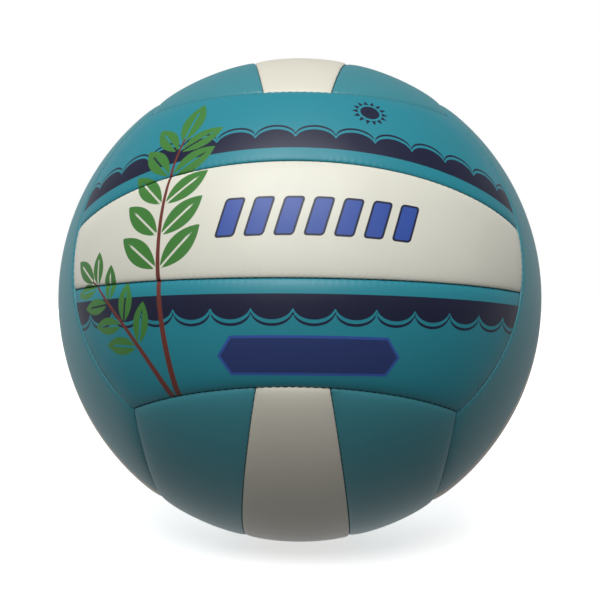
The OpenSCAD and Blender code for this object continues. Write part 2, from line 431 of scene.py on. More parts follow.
@dataclass(frozen=True)
class Panel:
    """One panel: a sheet with a crown, rounded shoulders and turned-in rims, closed on its inside.

    Attributes:
        plan: The ball's sizes and seams.
        relief: How the surface sinks towards its seams.
        face: The face that it belongs to.
        strip: Its strip on that face.
        cell: Wanted distance between the points of its grid, in metres.
        gap: Distance from a seam's middle at which the sheet's edge lies, in metres.
        sheet: Thickness of the sheet, in metres.
        rim: Distance from a seam within which the sheet is turned in, in metres.
        floor: Radius down to which the rim is turned in, as a share of the ball's.
        thinning: Rows of the outside for one row of the hidden inside.
        hole: Radius of the opening for the valve, in metres, or 0.
        hole_dip: Sink at the opening and the length over which it fades, in millimetres.
        hole_reach: Share of the opening's block of cells from which the points keep their places.
    """

    plan: BallPlan
    relief: SeamRelief
    face: Face
    strip: Strip
    cell: float = 0.72 * MM
    gap: float = 0.08 * MM
    sheet: float = 0.8 * MM
    rim: float = 1.25 * MM
    floor: float = 0.965
    thinning: int = 4
    hole: float = 0.0
    hole_dip: tuple[float, float] = (0.3, 0.5)
    hole_reach: float = 4

    # Distances from the sheet's edge of its closest rows of points, in millimetres
    CLOSE_ROWS = (0, 0.07, 0.15, 0.24, 0.35, 0.48, 0.64, 0.84, 1.08, 1.22, 1.6, 2.1)

    @property
    def node(self) -> str:
        """Name of the CAD node that the panel replaces."""
        return f"skin_{self.face.title}_{self.face.strip_name(self.strip)}"

    def seams(self) -> list[Circle]:
        """Picks the panel's seams.

        Returns:
            Those at its low, high, left and right side.
        """
        plan = self.plan
        low, high = {
            Strip.FIRST: (plan.strip_seam(1).flipped(), plan.side_seam(1)),
            Strip.MIDDLE: (plan.strip_seam(-1), plan.strip_seam(1)),
            Strip.LAST: (plan.side_seam(-1), plan.strip_seam(-1).flipped()),
        }[self.strip]
        return [low, high, plan.end_seam(-1), plan.end_seam(1)]

    def shares(self, length: float) -> np.ndarray:
        """Divides a length, closely at both ends and about a cell apart between them.

        Args:
            length: The length in metres.

        Returns:
            Shares of it from 0 to 1.
        """
        rows = np.array(self.CLOSE_ROWS) * MM
        count = round((length - 2 * rows[-1]) / self.cell / 2) * 2 + 2
        inner = np.linspace(rows[-1], length - rows[-1], count)
        return np.concatenate([rows[:-1], inner, length - rows[-2::-1]]) / length

    def directions(self) -> np.ndarray:
        """Works out the panel's grid on the unit ball, in the face's frame.

        The grid is a Coons patch: the sum of the two blends between facing sides, less the blend of the
        corners, set back onto the ball.

        Returns:
            Unit vectors, columns along the strip by rows across it by 3.
        """
        radius = self.plan.radius
        low, high, left, right = (seam.inset(self.gap / radius) for seam in self.seams())
        low_left, high_left = low.meeting(left, -EAST), high.meeting(left, -EAST)
        low_right, high_right = low.meeting(right, EAST), high.meeting(right, EAST)
        u = self.shares(2 * radius * self.plan.half_turn(self.plan.strip_seam(1)))
        v = self.shares(radius * math.acos(np.clip(low_left @ high_left, -1, 1)))
        across, up = u[:, None, None], v[None, :, None]
        sides = (1 - up) * low.arc(low_left, low_right, u)[:, None]
        sides = sides + up * high.arc(high_left, high_right, u)[:, None]
        ends = (1 - across) * left.arc(low_left, high_left, v) + across * right.arc(low_right, high_right, v)
        blend = (1 - across) * ((1 - up) * low_left + up * high_left)
        blend = blend + across * ((1 - up) * low_right + up * high_right)
        grid = sides + ends - blend
        return grid / np.linalg.norm(grid, axis=-1, keepdims=True)

    def open_hole(self, points: np.ndarray) -> tuple[np.ndarray, tuple[int, int, int, int]]:
        """Turns the square block of cells round the face's centre into a round opening.

        A point moves out or in to the radius hole * c, where c is its Chebyshev distance as a share of the
        block's, and the move fades to nothing where c reaches hole_reach.

        Args:
            points: The grid of unit vectors.

        Returns:
            The moved grid, and the first and last indices of the block along both ways.
        """
        flat = points[..., :2] * self.plan.radius
        across = np.abs(flat[:, flat.shape[1] // 2, 0])
        up = np.abs(flat[flat.shape[0] // 2, :, 1])
        block_u, block_v = np.flatnonzero(across < self.hole), np.flatnonzero(up < self.hole)
        c = np.maximum(np.abs(flat[..., 0]) / across[block_u[0]], np.abs(flat[..., 1]) / up[block_v[0]])
        least = self.hole / 10
        r = np.maximum(np.linalg.norm(flat, axis=-1), least)
        fade = np.clip((self.hole_reach - c) / (self.hole_reach - 1), 0, 1)
        fade = fade * fade * (3 - 2 * fade)
        moved = points.copy()
        moved[..., :2] *= (1 + fade * (c * self.hole / r - 1))[..., None]
        moved /= np.linalg.norm(moved, axis=-1, keepdims=True)
        return moved, (block_u[0], block_v[0], block_u[-1], block_v[-1])

    def sink(self, points: np.ndarray) -> tuple[np.ndarray, np.ndarray, np.ndarray]:
        """Works out how far the surface lies below the ball's sphere.

        Shoulder, crown and pucker fade as exp(-distance / length) from each seam. Where two seams are near,
        their shares run together as 1 - (1 - a) (1 - b). The lip is a parabola within its width, and the
        pinch is a cosine with one wave for each stitch.

        Args:
            points: The grid of unit vectors.

        Returns:
            The sink and the distance to the nearest seam in millimetres, and the crown's share from 0 to 1.
        """
        relief, plan = self.relief, self.plan
        total, lip = np.zeros(points.shape[:-1]), np.zeros(points.shape[:-1])
        above, shoulder = np.ones_like(total), np.ones_like(total)
        nearest = np.full_like(total, np.inf)
        seams, end_half = self.seams(), plan.half_turn(plan.side_seam(1))
        halves = [plan.half_turn(seams[0]), plan.half_turn(seams[1]), end_half, end_half]
        for seam, half, (bulge, edge) in zip(seams, halves, relief.laps(self.face, self.strip)):
            distance = seam.depth(points) * plan.radius / MM
            stitch, count = plan.stitch_turn(seam, half)
            # A stitch, and so the wave's crest, lies on the seam's middle only if their count is odd
            offset = 0.0 if count % 2 else 0.5
            wave = np.cos(math.tau * (seam.travel(points) / stitch + offset))
            shoulder *= 1 - edge * np.exp(-distance / relief.shoulder[1])
            above *= 1 - bulge * np.exp(-distance / relief.crown[1])
            total -= relief.pucker[0] * wave * np.exp(-distance / relief.pucker[1])
            width = relief.lip[1] * (1 + relief.pinch * wave)
            lip = np.maximum(lip, relief.lip[0] * np.clip(1 - distance / width, 0, 1) ** 2)
            nearest = np.minimum(nearest, distance)
        total -= relief.unevenness(points * plan.radius) * (1 - np.exp(-nearest / relief.swell[1]))
        total += relief.shoulder[0] * (1 - shoulder) + relief.crown[0] * (1 - above)
        most = relief.most[0] + relief.most[1] * np.maximum(relief.most[2] - nearest, 0)
        return np.minimum(total, most) + lip, nearest, 1 - above

    def inside_lines(self, size: int, block: tuple[int, ...]) -> np.ndarray:
        """Picks the grid's lines that the inside keeps: its edges, those round the rim's end, the opening's.

        Args:
            size: Count of the grid's lines along one way.
            block: The opening's first and last line, or nothing.

        Returns:
            Indices of the lines, in order.
        """
        end = int(np.searchsorted(self.CLOSE_ROWS, (self.rim - self.gap) / MM))
        sparse = np.linspace(end + 1, size - end - 2, (size - 2 * end) // self.thinning).round().astype(int)
        close = np.array([0, *range(end - 2, end + 2)])
        opening = np.arange(block[0], block[1] + 1) if block else close
        return np.unique(np.concatenate([close, size - 1 - close, sparse, opening]))

    @staticmethod
    def wall(loop: np.ndarray, kept: np.ndarray, count: int) -> tuple[np.ndarray, np.ndarray]:
        """Joins a loop of the outside to the kept points of the same loop inside.

        Args:
            loop: Indices of the outside's points. The first is kept inside too.
            kept: Which of them the inside keeps.
            count: What an index rises by from the outside to the inside.

        Returns:
            Quads where the next point is kept, and triangles elsewhere.
        """
        under = loop[np.maximum.accumulate(np.where(kept, np.arange(len(loop)), 0))] + count
        after = np.roll(kept, -1)
        quads = np.stack([loop, under, np.roll(under, -1), np.roll(loop, -1)], axis=1)
        return quads[after], quads[~after][:, [0, 1, 3]]

    def build(self) -> tuple[bpy.types.Object, np.ndarray]:
        """Builds the panel's mesh.

        Returns:
            The object, and the unit vectors of its points in the face's frame.
        """
        points, block = self.directions(), ()
        if self.hole:
            points, block = self.open_hole(points)
        sink, nearest, crown = self.sink(points)
        radius = self.plan.radius
        if self.hole:
            to_hole = (np.linalg.norm(points[..., :2], axis=-1) * radius - self.hole) / MM
            sink = sink + self.hole_dip[0] * np.exp(-np.maximum(to_hole, 0) / self.hole_dip[1])
        outside = radius - sink * MM
        inside = np.where(nearest < self.rim / MM, self.floor * radius, radius - self.sheet)
        turned = points @ self.face.turn(self.plan.lean).T
        shell = np.concatenate([(turned * r[..., None]).reshape(-1, 3) for r in (outside, inside)])
        count = outside.size
        index = np.arange(count).reshape(outside.shape)
        keep = np.ones(index.shape, bool)
        loops = [loop_of(index, (0, 0), (index.shape[0] - 1, index.shape[1] - 1))]
        if block:
            keep[block[0] : block[2], block[1] : block[3]] = False
            loops.append(loop_of(index, block[:2], block[2:])[::-1])
        lines = np.ix_(*(self.inside_lines(size, block[way::2]) for way, size in enumerate(index.shape)))
        top, under = grid_faces(index, keep), grid_faces(index[lines] + count, keep[lines])[:, ::-1]
        quads, corners = zip(*(self.wall(loop, np.isin(loop, index[lines]), count) for loop in loops))
        faces = [np.concatenate([top, under, *quads]), np.concatenate(corners)]
        used = np.unique(np.concatenate([part.ravel() for part in faces]))
        name = self.node.replace("skin", "panel")
        piece = make_mesh(name, shell[used], *(np.searchsorted(used, part) for part in faces))
        add_values(piece, "seam_distance", np.tile(nearest.ravel(), 2)[used])
        add_values(piece, "crown_share", np.tile(crown.ravel(), 2)[used])
        return piece, np.tile(points.reshape(-1, 3), (2, 1))[used]


@dataclass(frozen=True)
class Stitching:
    """The thread of one CAD node: a cord deep in each groove, and the stitches that show over it.

    Attributes:
        plan: The ball's sizes and seams.
        face: The face that the seams belong to.
        title: The last word of the CAD node's name.
        ways: The sides of the face on which the seams lie.
        between_strips: Whether the seams are strip seams and not face seams.
        share: A stitch's share of the pitch.
        thick: Half width and half height of a stitch, in metres.
        centre: Depth of a stitch's ends below the ball's sphere.
        arch: Rise of its middle over its ends.
        scatter: Scatter of the stitches' places, lengths and thicknesses, as shares.
        depths: Scatter of their depths.
        cord: Half width and half height of the cord.
        cord_centre: Depth of the cord.
        cord_share: The cord's share of the seam's length.
    """

    plan: BallPlan
    face: Face
    title: str
    ways: tuple[int, ...]
    between_strips: bool
    share: float = 0.74
    thick: tuple[float, float] = (0.2 * MM, 0.22 * MM)
    centre: float = 1.42 * MM
    arch: float = 0.3 * MM
    scatter: tuple[float, float, float] = (0.02, 0.05, 0.04)
    depths: float = 0.03 * MM
    cord: tuple[float, float] = (0.42 * MM, 0.3 * MM)
    cord_centre: float = 2.1 * MM
    cord_share: float = 0.996

    # Shares of a stitch's half length at which its rings stand, and the shares of its thickness there
    RINGS = np.array((-1.0, -0.9, -0.6, 0.0, 0.6, 0.9, 1.0))
    SWELL = np.array((0.35, 0.72, 0.95, 1.0, 0.95, 0.72, 0.35))
    SIDES = 7
    CORD_SIDES = 8

    @property
    def node(self) -> str:
        """Name of the CAD node that the thread replaces."""
        return f"seam_{self.face.title}_{self.title}"

    @property
    def name(self) -> str:
        """Name of the thread's object."""
        return self.node.replace("seam", "thread")

    def tube(
        self, seam: Circle, travel: np.ndarray, sink: np.ndarray, half: np.ndarray, sides: int
    ) -> tuple[np.ndarray, np.ndarray, np.ndarray]:
        """Carries an elliptical section along a seam: point = out * (r + z cos a) + across * (y sin a).

        Args:
            seam: The seam's circle.
            travel: Angles along the seam, one row for each separate tube.
            sink: Depth of the middle line below the ball's sphere, as travel.
            half: Half width and half height of the section, as travel by 2.
            sides: Count of sides of the section.

        Returns:
            The points, the quads that join the rings, and the polygons that close both ends of each tube.
        """
        out = seam.point(travel)
        across = seam.axis - (out @ seam.axis)[..., None] * out
        across /= np.linalg.norm(across, axis=-1, keepdims=True)
        angle = np.arange(sides) * math.tau / sides
        height = (self.plan.radius - sink)[..., None] + half[..., 1:] * np.cos(angle)
        width = half[..., :1] * np.sin(angle)
        points = out[..., None, :] * height[..., None] + across[..., None, :] * width[..., None]
        index = np.arange(travel.size * sides).reshape(*travel.shape, sides)
        faces = ring_faces(index), np.concatenate([index[:, 0, ::-1], index[:, -1]])
        if np.linalg.det(np.stack([seam.middle, seam.axis, seam.along])) < 0:
            faces = tuple(part[:, ::-1] for part in faces)
        return points.reshape(-1, 3), *faces

    def seam_parts(self, way: int) -> list[tuple[np.ndarray, np.ndarray, np.ndarray]]:
        """Builds the stitches and the cord of one seam.

        Args:
            way: The side of the face on which the seam lies.

        Returns:
            Points, quads and polygons of the stitches, and of the cord.
        """
        plan, ring = self.plan, self.RINGS
        seam = plan.strip_seam(way) if self.between_strips else plan.side_seam(way)
        half_turn = plan.half_turn(seam)
        stitch, count = plan.stitch_turn(seam, half_turn)
        draw = np.random.default_rng(seed_of(self.name) + way + 1)
        places, lengths, thicknesses = self.scatter
        centre = (np.arange(count) - (count - 1) / 2) * stitch
        centre = centre + draw.normal(0, places, count) * stitch
        long = self.share * (1 + draw.normal(0, lengths, count))
        travel = centre[:, None] + ring * long[:, None] * stitch / 2
        sink = self.centre - self.arch * (1 - ring**2) + draw.normal(0, self.depths, count)[:, None]
        thick = self.SWELL[:, None] * np.array(self.thick)
        thick = thick * (1 + draw.normal(0, thicknesses, count))[:, None, None]
        line = np.linspace(-half_turn, half_turn, count + 1)[None] * self.cord_share
        section = np.tile(self.cord, (*line.shape, 1))
        return [
            self.tube(seam, travel, sink, thick, self.SIDES),
            self.tube(seam, line, np.full_like(line, self.cord_centre), section, self.CORD_SIDES),
        ]

    def build(self) -> bpy.types.Object:
        """Builds the thread's mesh from all its seams.

        Returns:
            The object.
        """
        points: list[np.ndarray] = []
        faces: list[np.ndarray] = []
        for part, *polygons in (tube for way in self.ways for tube in self.seam_parts(way)):
            start = sum(len(p) for p in points)
            faces += [polygon + start for polygon in polygons]
            points.append(part @ self.face.turn(self.plan.lean).T)
        return make_mesh(self.name, np.concatenate(points), *faces)


def seed_of(name: str) -> int:
    """A number made from a name, the same in each run."""
    return sum((place + 1) * ord(letter) for place, letter in enumerate(name))


@dataclass(frozen=True)
class Valve:
    """The valve's body and its core, each a profile carried round the valve's axis.

    Attributes:
        plan: The ball's sizes and seams.
        face: The face in whose centre the valve sits.
    """

    plan: BallPlan
    face: Face

    SEGMENTS = 96
    # Profiles as radius and height over the ball's sphere, in millimetres, from the axis round to the axis
    BODY = (
        (0, -20.9), (2.2, -20.85), (3.4, -20.4), (4.0, -19.6), (4.2, -18.4), (4.2, -8.6), (6.5, -8.55),
        (8.6, -8.6), (8.95, -8.35), (9.0, -7.9), (8.9, -7.3), (8.6, -7.05), (4.6, -6.75), (4.25, -6.5),
        (4.2, -6.2), (4.2, -1.2), (4.15, -0.95), (4.0, -0.75), (3.75, -0.62), (3.3, -0.58), (2.9, -0.62),
        (2.65, -0.72), (2.52, -0.9), (2.5, -1.2), (2.5, -12.5), (2.3, -12.6), (0, -12.6),
    )
    CORE = (
        (0, -12.55), (2.3, -12.5), (2.48, -12.2), (2.48, -1.1), (2.42, -0.85), (2.25, -0.68), (1.95, -0.62),
        (1.7, -0.7), (1.45, -0.92), (1.15, -1.2), (1.02, -1.45), (1.0, -1.8), (1.0, -9.0), (0.85, -9.1),
        (0, -9.1),
    )

    def lathe(self, name: str, profile: tuple[tuple[float, float], ...]) -> bpy.types.Object:
        """Carries a profile round the valve's axis: (r cos a, r sin a, z), closed by a point at both poles.

        Args:
            name: Name of the object.
            profile: Radius and height pairs that start and end on the axis.

        Returns:
            The object.
        """
        rings = np.array(profile) * MM
        angle = np.arange(self.SEGMENTS) * math.tau / self.SEGMENTS
        r, z = rings[1:-1, :1], rings[:, 1:] + self.plan.radius
        body = np.stack([r * np.cos(angle), r * np.sin(angle), z[1:-1] + 0 * angle], axis=-1).reshape(-1, 3)
        poles = np.array([[0, 0, z[0, 0]], [0, 0, z[-1, 0]]])
        points = np.concatenate([body, poles]) @ self.face.turn(self.plan.lean).T
        index = np.arange(len(body)).reshape(-1, self.SEGMENTS)
        start, end = np.full(self.SEGMENTS, len(body)), np.full(self.SEGMENTS, len(body) + 1)
        first = np.stack([np.roll(index[0], -1), start, index[0]], axis=1)
        last = np.stack([index[-1], np.roll(index[-1], -1), end], axis=1)
        return make_mesh(name, points, ring_faces(index), first, last)

    def build(self) -> dict[str, bpy.types.Object]:
        """Builds both pieces.

        Returns:
            The objects by the name of the CAD node that each replaces.
        """
        return {
            "valve_body": self.lathe("rubber_valve_body", self.BODY),
            "valve_core": self.lathe("rubber_valve_core", self.CORE),
        }


class Ink(Enum):
    """The inks of the front print: name of the distance that each leaves on a panel, and its sRGB colour."""

    NAVY = ("ink_navy", (31, 35, 62))
    ROYAL = ("ink_royal", (46, 62, 116))
    BLUE = ("ink_blue", (58, 88, 172))
    BROWN = ("ink_brown", (118, 58, 50))
    GREEN = ("ink_green", (72, 134, 62))


@dataclass(frozen=True)
class Twig:
    """A printed twig in millimetres: a curved stem from its foot past its bend to its tip, and paired leaves.

    Attributes:
        foot: Place of the stem's foot, from the face's centre.
        bend: Place towards which the stem bows.
        tip: Place of the stem's tip.
        pairs: Shares of the stem's length at which a pair of leaves stands.
        leaf: Length and half width of a leaf.
        spread: Angle between a leaf and the stem, in radians.
        thick: Width of the stem at its foot.
        taper: Share of its width that the stem loses.
        last: Share of the stem, side and size of the last leaf.
        shrink: Share of its size that a leaf at the tip would lose.
        stalk: Length of a leaf's stalk.
        vein: Half width of a leaf's bare vein, the share at which it narrows, and how fast.
    """

    foot: tuple[float, float]
    bend: tuple[float, float]
    tip: tuple[float, float]
    pairs: tuple[float, ...]
    leaf: tuple[float, float]
    spread: float = math.radians(48)
    thick: float = 2.6
    taper: float = 0.7
    last: tuple[float, int, float] = (0.97, 0, 0.9)
    shrink: float = 0.25
    stalk: float = 1.2
    vein: tuple[float, float, float] = (0.5, 0.7, 4)

    # Count of the points that follow the stem, and the step over which its heading is taken
    POINTS = 60
    STEP = 0.01

    def along(self, share: np.ndarray) -> np.ndarray:
        """Works out points of the stem: the quadratic curve through foot and tip that bend pulls on.

        Args:
            share: Shares of the curve's parameter, any shape.

        Returns:
            Places, one more axis than share.
        """
        t = share[..., None]
        foot, bend, tip = (np.array(v) for v in (self.foot, self.bend, self.tip))
        return (1 - t) ** 2 * foot + 2 * t * (1 - t) * bend + t**2 * tip

    def stem(self, flat: np.ndarray) -> np.ndarray:
        """Works out the distance from the stem's edge: that to the curve less half its tapering width.

        Args:
            flat: Flat coordinates.

        Returns:
            The distance, negative inside.
        """
        share = np.linspace(0, 1, self.POINTS)
        curve = self.along(share)
        offset = flat[..., None, :] - curve[:-1]
        step = curve[1:] - curve[:-1]
        part = np.clip((offset * step).sum(-1) / (step**2).sum(-1), 0, 1)
        away = np.linalg.norm(offset - part[..., None] * step, axis=-1)
        return (away - self.thick / 2 * (1 - self.taper * share[:-1])).min(axis=-1)

    def leaves(self, flat: np.ndarray) -> np.ndarray:
        """Works out the distance from the leaves: |y| - half width * (1 - (2 x / length - 1)^2) for each.

        Args:
            flat: Flat coordinates.

        Returns:
            The distance from the nearest, negative inside.
        """
        length, half = self.leaf
        vein, narrows, rate = self.vein
        nearest = np.full(flat.shape[:-1], np.inf)
        places = [(share, way, 1 - self.shrink * share) for share in self.pairs for way in (-1, 1)]
        for share, way, size in [*places, self.last]:
            foot, ahead = self.along(np.array([share, share + self.STEP]))
            heading = math.atan2(*(ahead - foot)[::-1]) + way * self.spread
            offset = flat - foot
            x = (offset @ np.array([math.cos(heading), math.sin(heading)])) / size - self.stalk
            y = (offset @ np.array([-math.sin(heading), math.cos(heading)])) / size
            blade = np.abs(y) - half * (1 - (2 * x / length - 1) ** 2)
            bare = vein - np.abs(y) - np.clip(x / length - narrows, 0, 1) * rate
            nearest = np.minimum(nearest, np.maximum(blade, bare) * size)
        return nearest


@dataclass(frozen=True)
class FrontPrint:
    """The print of the front face. Every shape is a distance from its edge in millimetres, negative inside.

    Places are flat coordinates: the distance along the ball from the face's centre, in the point's direction.

    Attributes:
        plan: The ball's sizes and seams.
        border: Distance of a scalloped border from its strip seam, width of its plain part, height of its
            scallops and their wanted length.
        ripple: Distance and width of the line that follows the scallops.
        bars: Count, distance, half width, half height, corner radius and shift to the right of the bars.
        slant: Angle of the bars' sides from upright, in radians.
        outline: Width of the dark line round a bar.
        field: Centre, half length, half height and cut of the long six-sided field.
        rim: Width of the line round the field.
        sun: Centre, radius of the disc, inner and outer radius of the rays, and their count.
        ray: Half width of a ray at its foot.
        twigs: The two twigs.
        limit: Largest distance that is stored.
    """

    plan: BallPlan
    border: tuple[float, float, float, float] = (5.5, 4.0, 5.0, 15.0)
    ripple: tuple[float, float] = (1.8, 1.0)
    bars: tuple[int, float, float, float, float, float] = (7, 10.6, 3.7, 7.4, 1.4, 9.0)
    slant: float = math.radians(16)
    outline: float = 0.8
    field: tuple[float, float, float, float, float] = (6.0, -49.5, 34.0, 7.2, 5.0)
    rim: float = 0.9
    sun: tuple[float, float, float, float, float, int] = (29.0, 49.5, 3.9, 5.0, 7.6, 14)
    ray: float = 1.0
    twigs: tuple[Twig, ...] = (
        Twig((-45, -69), (-58, -10), (-44, 38), (0.46, 0.58, 0.7, 0.82, 0.93), (25, 5.2)),
        Twig((-47, -69), (-60, -44), (-87, -16), (0.46, 0.63, 0.8, 0.94), (19, 4.2)),
    )
    limit: float = 9.0

    def flat(self, points: np.ndarray) -> np.ndarray:
        """Works out flat coordinates: (x, y) / sqrt(x^2 + y^2) times the arc from the face's centre.

        Args:
            points: Unit vectors in the face's frame.

        Returns:
            Flat coordinates in millimetres.
        """
        reach = np.maximum(np.linalg.norm(points[..., :2], axis=-1), 1e-9)
        arc = np.arctan2(reach, points[..., 2]) * self.plan.radius / MM
        return points[..., :2] * (arc / reach)[..., None]

    def scallops(self, points: np.ndarray) -> np.ndarray:
        """Draws the scalloped borders on the outer strips, along the strip seams, each with a line beside it.

        The scallops are half circles set over a plain band: sqrt(1 - x^2) for x from -1 to 1 along each.

        Args:
            points: Unit vectors in the face's frame.

        Returns:
            The distance.
        """
        start, plain, rise, length = self.border
        shape = np.full(points.shape[:-1], np.inf)
        for way in (1, -1):
            seam = self.plan.strip_seam(way)
            distance = -seam.depth(points) * self.plan.radius / MM
            full_turn = 2 * self.plan.half_turn(seam)
            count = round(full_turn * self.plan.radius / MM / length)
            share = seam.travel(points) / full_turn * count + count / 2
            bump = np.sqrt(np.clip(1 - (2 * (share % 1) - 1) ** 2, 0, 1))
            edge = distance - start - plain - rise * bump
            line = np.abs(edge - self.ripple[0]) - self.ripple[1] / 2
            shape = np.minimum(shape, np.maximum(np.minimum(edge, line), start - distance))
        return shape

    def slanted_bars(self, flat: np.ndarray) -> np.ndarray:
        """Draws a row of rounded boxes: |max(q, 0)| + min(max(q), 0) - radius, q = |place| - half + radius.

        Args:
            flat: Flat coordinates.

        Returns:
            The distance.
        """
        count, step, half_w, half_h, round_r, shift = self.bars
        x = flat[..., 0] - shift - math.tan(self.slant) * flat[..., 1]
        near = np.clip(np.round(x / step), -(count // 2), count // 2)
        q = np.stack([np.abs(x - near * step) - half_w, np.abs(flat[..., 1]) - half_h], -1) + round_r
        return np.linalg.norm(np.maximum(q, 0), axis=-1) + np.minimum(q.max(axis=-1), 0) - round_r

    def long_field(self, flat: np.ndarray) -> np.ndarray:
        """Draws a long six-sided field: the farthest of its level sides and its slanted ends.

        Args:
            flat: Flat coordinates.

        Returns:
            The distance.
        """
        x0, y0, half_l, half_h, cut = self.field
        x, y = np.abs(flat[..., 0] - x0), np.abs(flat[..., 1] - y0)
        lean = math.atan2(cut, half_h)
        return np.maximum(y - half_h, (x - half_l) * math.cos(lean) + y * math.sin(lean))

    def sun_shape(self, flat: np.ndarray) -> np.ndarray:
        """Draws a disc with a ring of rays that narrow outwards: the least of r - disc and the rays' sides.

        Args:
            flat: Flat coordinates.

        Returns:
            The distance.
        """
        x0, y0, disc, inner, outer, count = self.sun
        offset = flat - np.array([x0, y0])
        r = np.linalg.norm(offset, axis=-1)
        turn = np.arctan2(offset[..., 1], offset[..., 0])
        off_ray = np.abs((turn * count / math.tau + 0.5) % 1 - 0.5) * math.tau / count * r
        rays = np.maximum(off_ray - self.ray * (outer - r) / (outer - inner), inner - r)
        return np.minimum(r - disc, rays)

    def inks(self, panel: Panel, points: np.ndarray) -> dict[Ink, np.ndarray]:
        """Works out what each ink leaves on a panel of the front face.

        Args:
            panel: The panel.
            points: Unit vectors of the panel's points in the face's frame.

        Returns:
            The distance from the edge of each ink's shapes, up to the limit.
        """
        flat = self.flat(points)
        bars, field = self.slanted_bars(flat), self.long_field(flat)
        outer = panel.strip is not Strip.MIDDLE
        shapes = {
            Ink.NAVY: np.minimum(self.scallops(points), self.sun_shape(flat)) if outer else bars,
            Ink.ROYAL: field + self.rim,
            Ink.BLUE: np.minimum(bars + self.outline, np.maximum(field, -field - self.rim)),
            Ink.BROWN: np.min([twig.stem(flat) for twig in self.twigs], axis=0),
            Ink.GREEN: np.min([twig.leaves(flat) for twig in self.twigs], axis=0),
        }
        return {ink: np.clip(shape, -self.limit, self.limit) for ink, shape in shapes.items()}


Values = dict[str | int, Any]


class Tree:
    """Places nodes in a node tree, sets their sockets and links them."""

    def __init__(self, tree: bpy.types.NodeTree) -> None:
        """Starts on an empty tree."""
        self.tree = tree
        tree.nodes.clear()

    def add(self, kind: str, values: Values | None = None, **settings: Any) -> bpy.types.Node:
        """Adds a node.

        Args:
            kind: The node's type name, less what all of them begin with.
            values: For each input socket, by name or number, a value or the output socket that feeds it.
            settings: The node's own settings.

        Returns:
            The node.
        """
        node = self.tree.nodes.new(kind if kind.startswith("Node") else f"ShaderNode{kind}")
        for name, setting in settings.items():
            setattr(node, name, setting)
        for socket, value in (values or {}).items():
            if isinstance(value, bpy.types.NodeSocket):
                self.tree.links.new(value, node.inputs[socket])
            else:
                node.inputs[socket].default_value = value
        return node

    def math(self, operation: str, *values: Any) -> bpy.types.NodeSocket:
        """Adds a Math node and returns its result."""
        return self.add("Math", dict(enumerate(values)), operation=operation).outputs[0]

    def ramp(self, value: Any, *ends: Any, **settings: Any) -> bpy.types.NodeSocket:
        """Takes a value that runs between the first two ends to the third and fourth, or to 0 and 1."""
        return self.add("MapRange", dict(enumerate((value, *ends))), **settings).outputs[0]

    def xyz(self, kind: str) -> Any:
        """The three parts of a texture coordinate."""
        return self.add("SeparateXYZ", {0: self.add("TexCoord").outputs[kind]}).outputs

    def place(self) -> bpy.types.NodeSocket:
        """The place on the object, in metres."""
        return self.add("TexCoord").outputs["Object"]

    def stored(self, name: str) -> bpy.types.NodeSocket:
        """A number stored on the mesh."""
        return self.add("Attribute", attribute_name=name).outputs["Fac"]

    def group(self, name: str, values: Values) -> Any:
        """Adds a shared effect and returns its results."""
        return self.add("Group", values, node_tree=bpy.data.node_groups[name]).outputs


def linear(colour: tuple[int, int, int]) -> tuple[float, float, float, float]:
    """Turns an sRGB colour into a linear one.

    Args:
        colour: Levels from 0 to 255.

    Returns:
        Linear levels from 0 to 1, and full alpha.
    """
    levels = [c / 255 for c in colour]
    flat = [c / 12.92 if c <= 0.04045 else ((c + 0.055) / 1.055) ** 2.4 for c in levels]
    return (*flat, 1.0)


def grey(level: float) -> tuple[float, float, float, float]:
    """A linear grey with full alpha."""
    return (level, level, level, 1.0)


